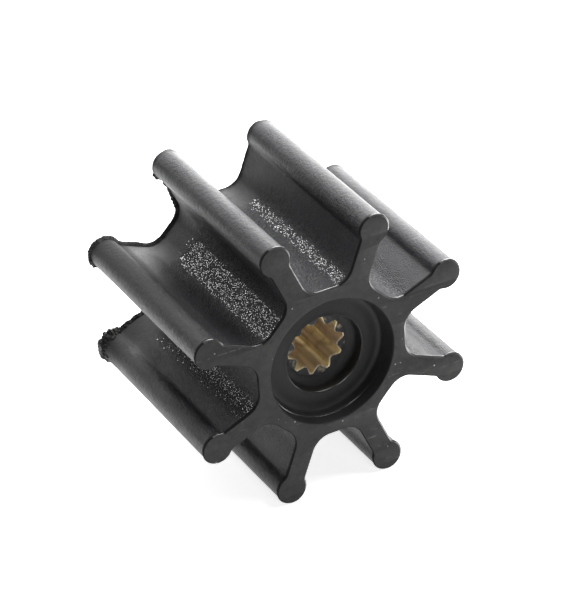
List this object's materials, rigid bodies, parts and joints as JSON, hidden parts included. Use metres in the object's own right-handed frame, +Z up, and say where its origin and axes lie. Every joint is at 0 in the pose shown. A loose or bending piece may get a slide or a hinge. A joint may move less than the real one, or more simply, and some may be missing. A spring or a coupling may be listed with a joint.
{
  "type": "rubber pump impeller",
  "caption": "Flexible pump impeller: rubber blades with round beads on a thick hub, moulded round a brass bush with a splined bore that slides on the pump shaft.",
  "frame": {"origin": "middle of the splined bore, on the shaft axis", "axes": "Y along the shaft axis, front face towards -Y; +Z up, lying on the beads of the two lowest blades"},
  "size_m": [0.0614, 0.048, 0.0612],
  "materials": {
    "rubber": "satin moulded black rubber, pebbled between the blades, matt and scuffed on the end faces",
    "brass": "dull broached brass, olive and brown in the grooves, brighter on its edges"
  },
  "bodies": {
    "root": {"rubber_body": "rubber", "splined_bush": "brass"}
  },
  "joints": []
}
